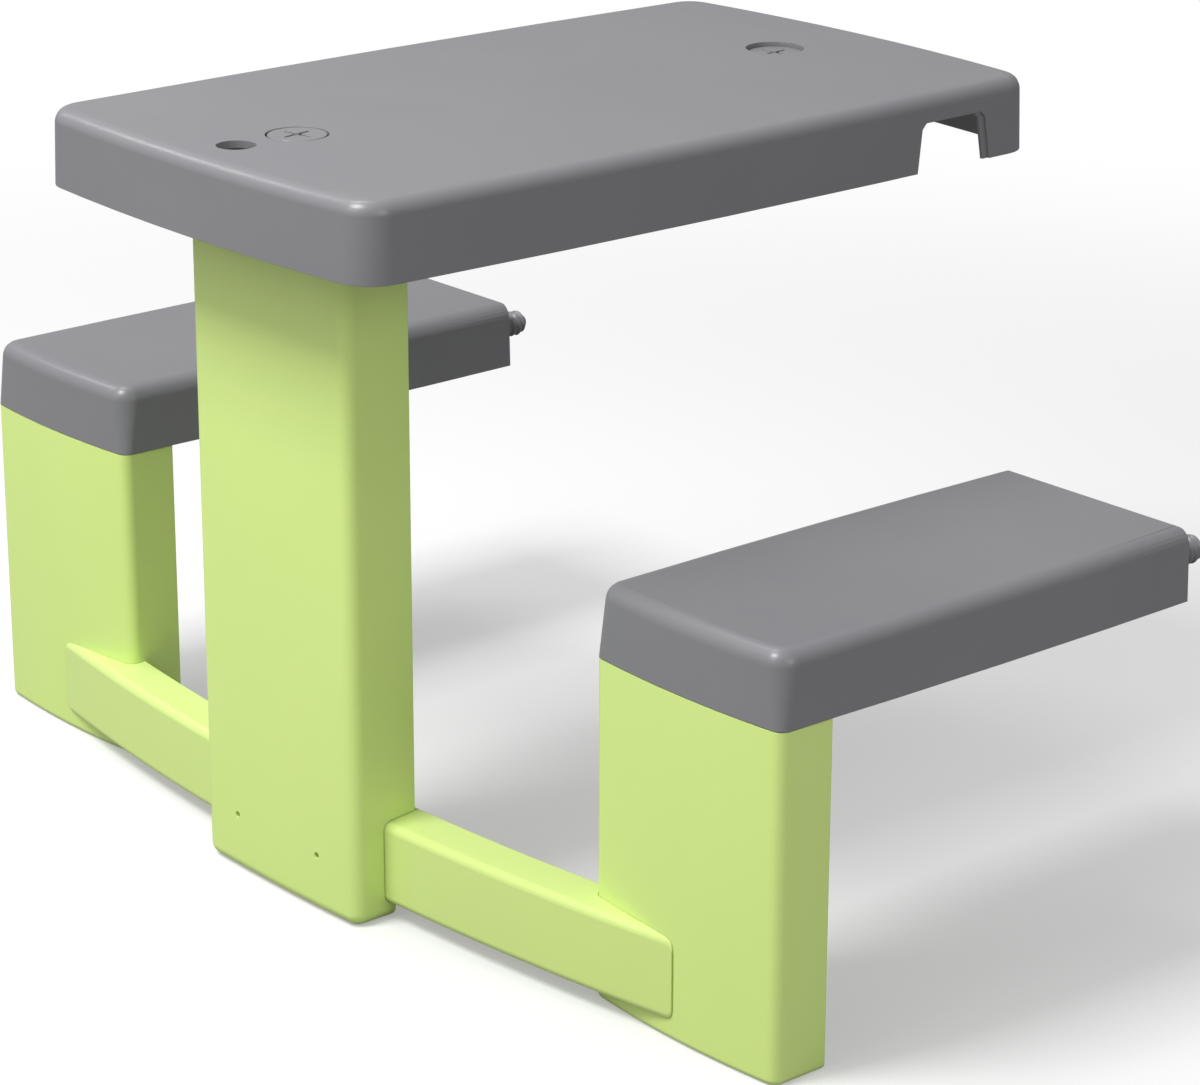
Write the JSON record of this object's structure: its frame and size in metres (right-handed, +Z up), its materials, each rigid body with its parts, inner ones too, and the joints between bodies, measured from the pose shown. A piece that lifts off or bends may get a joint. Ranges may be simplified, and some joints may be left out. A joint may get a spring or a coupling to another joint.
{
  "type": "kids table and bench set",
  "caption": "Moulded picnic table with a bench on each side, joined by a curved bar at the foot, that hooks onto a play house wall at one end.",
  "frame": {"origin": "on the ground, under the middle of the table top", "axes": "+Z up, +Y from the free end with the legs towards the house wall, +X towards the right bench"},
  "size_m": [0.7678, 0.526, 0.46],
  "materials": {
    "grey_shell": "injection-moulded polypropylene, fine spark texture",
    "green_shell": "injection-moulded polypropylene, satin",
    "green_bar": "injection-moulded polypropylene, satin",
    "grey_screw": "moulded plastic, satin",
    "zinc_screw": "zinc plated"
  },
  "bodies": {
    "root": {"table_top": "grey_shell", "near_table_screw": "grey_screw", "far_table_screw": "grey_screw", "pedestal": "green_shell", "cross_bar": "green_bar", "left_leg": "green_shell", "right_leg": "green_shell", "left_bench_top": "grey_shell", "right_bench_top": "grey_shell", "left_outer_stud": "grey_screw", "left_inner_stud": "grey_screw", "right_inner_stud": "grey_screw", "right_outer_stud": "grey_screw", "left_pedestal_screw": "zinc_screw", "right_pedestal_screw": "zinc_screw", "left_upper_lap_screw": "zinc_screw", "left_lower_lap_screw": "zinc_screw", "right_upper_lap_screw": "zinc_screw", "right_lower_lap_screw": "zinc_screw", "left_outer_bench_screw": "zinc_screw", "left_inner_bench_screw": "zinc_screw", "right_inner_bench_screw": "zinc_screw", "right_outer_bench_screw": "zinc_screw"}
  },
  "joints": []
}
